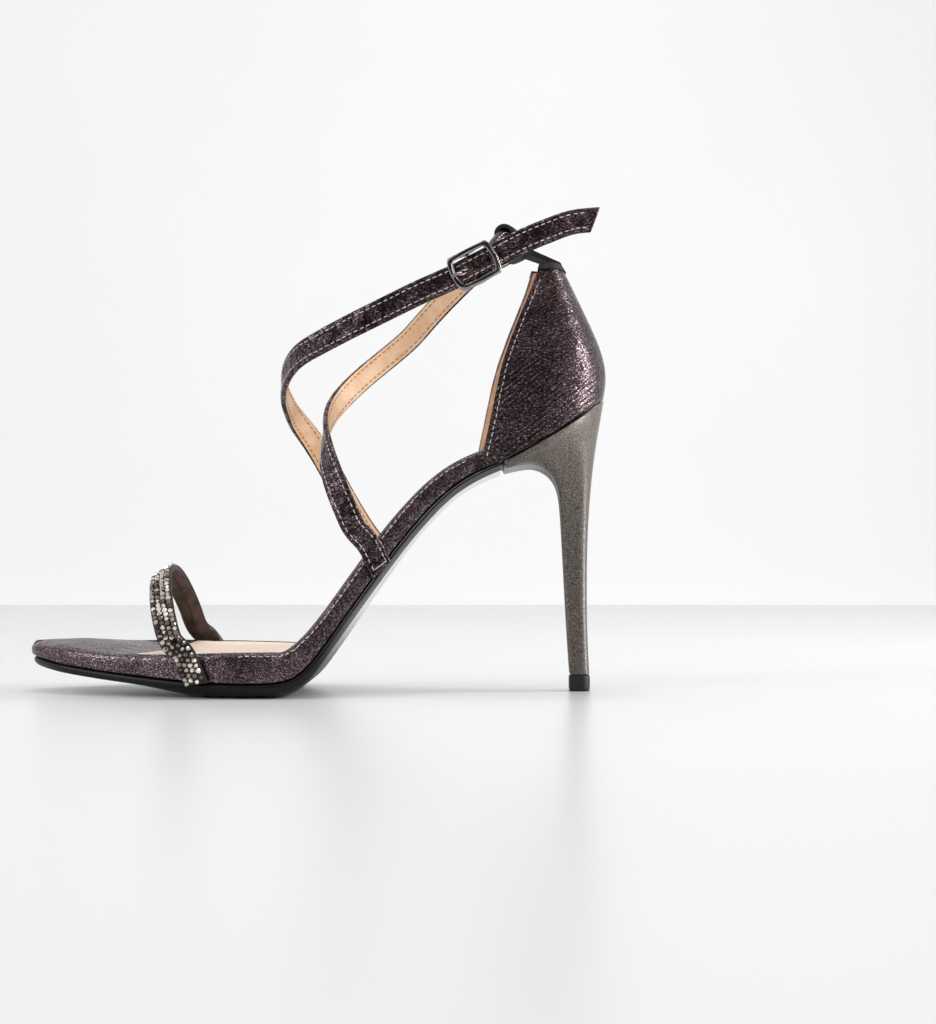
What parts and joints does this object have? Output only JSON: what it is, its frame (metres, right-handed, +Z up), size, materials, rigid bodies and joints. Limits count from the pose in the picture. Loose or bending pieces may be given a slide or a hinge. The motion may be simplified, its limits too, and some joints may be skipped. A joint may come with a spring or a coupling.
{
  "type": "high-heeled strappy sandal",
  "caption": "High-heeled sandal with a stone-set toe strap, crossing waist and ankle straps, buckle, closed counter and slim heel.",
  "frame": {"origin": "on the floor under the middle of the forefoot tread, on the shoe's long centre line", "axes": "+Z up; the toe points to -X and the heel to +X; +Y is the inner side of the foot and -Y the outer side"},
  "size_m": [0.2081, 0.0782, 0.169],
  "materials": {
    "upper_leather": "pewter metallic, crinkled",
    "sock_leather": "matte beige",
    "sole_black": "satin black",
    "heel_lacquer": "pearl grey lacquer",
    "lift_black": "satin black",
    "stone_setting": "dark band set with small metallic stones",
    "elastic_black": "matte black",
    "gunmetal": "polished dark gunmetal"
  },
  "bodies": {
    "root": {"platform": "upper_leather", "sock": "sock_leather", "outsole": "sole_black", "heel": "heel_lacquer", "top_lift": "lift_black", "counter": "upper_leather", "toe_strap": "stone_setting", "cross_strap": "upper_leather", "ankle_strap": "upper_leather", "heel_tunnel": "elastic_black", "buckle_frame": "gunmetal", "buckle_prong": "gunmetal"}
  },
  "joints": []
}
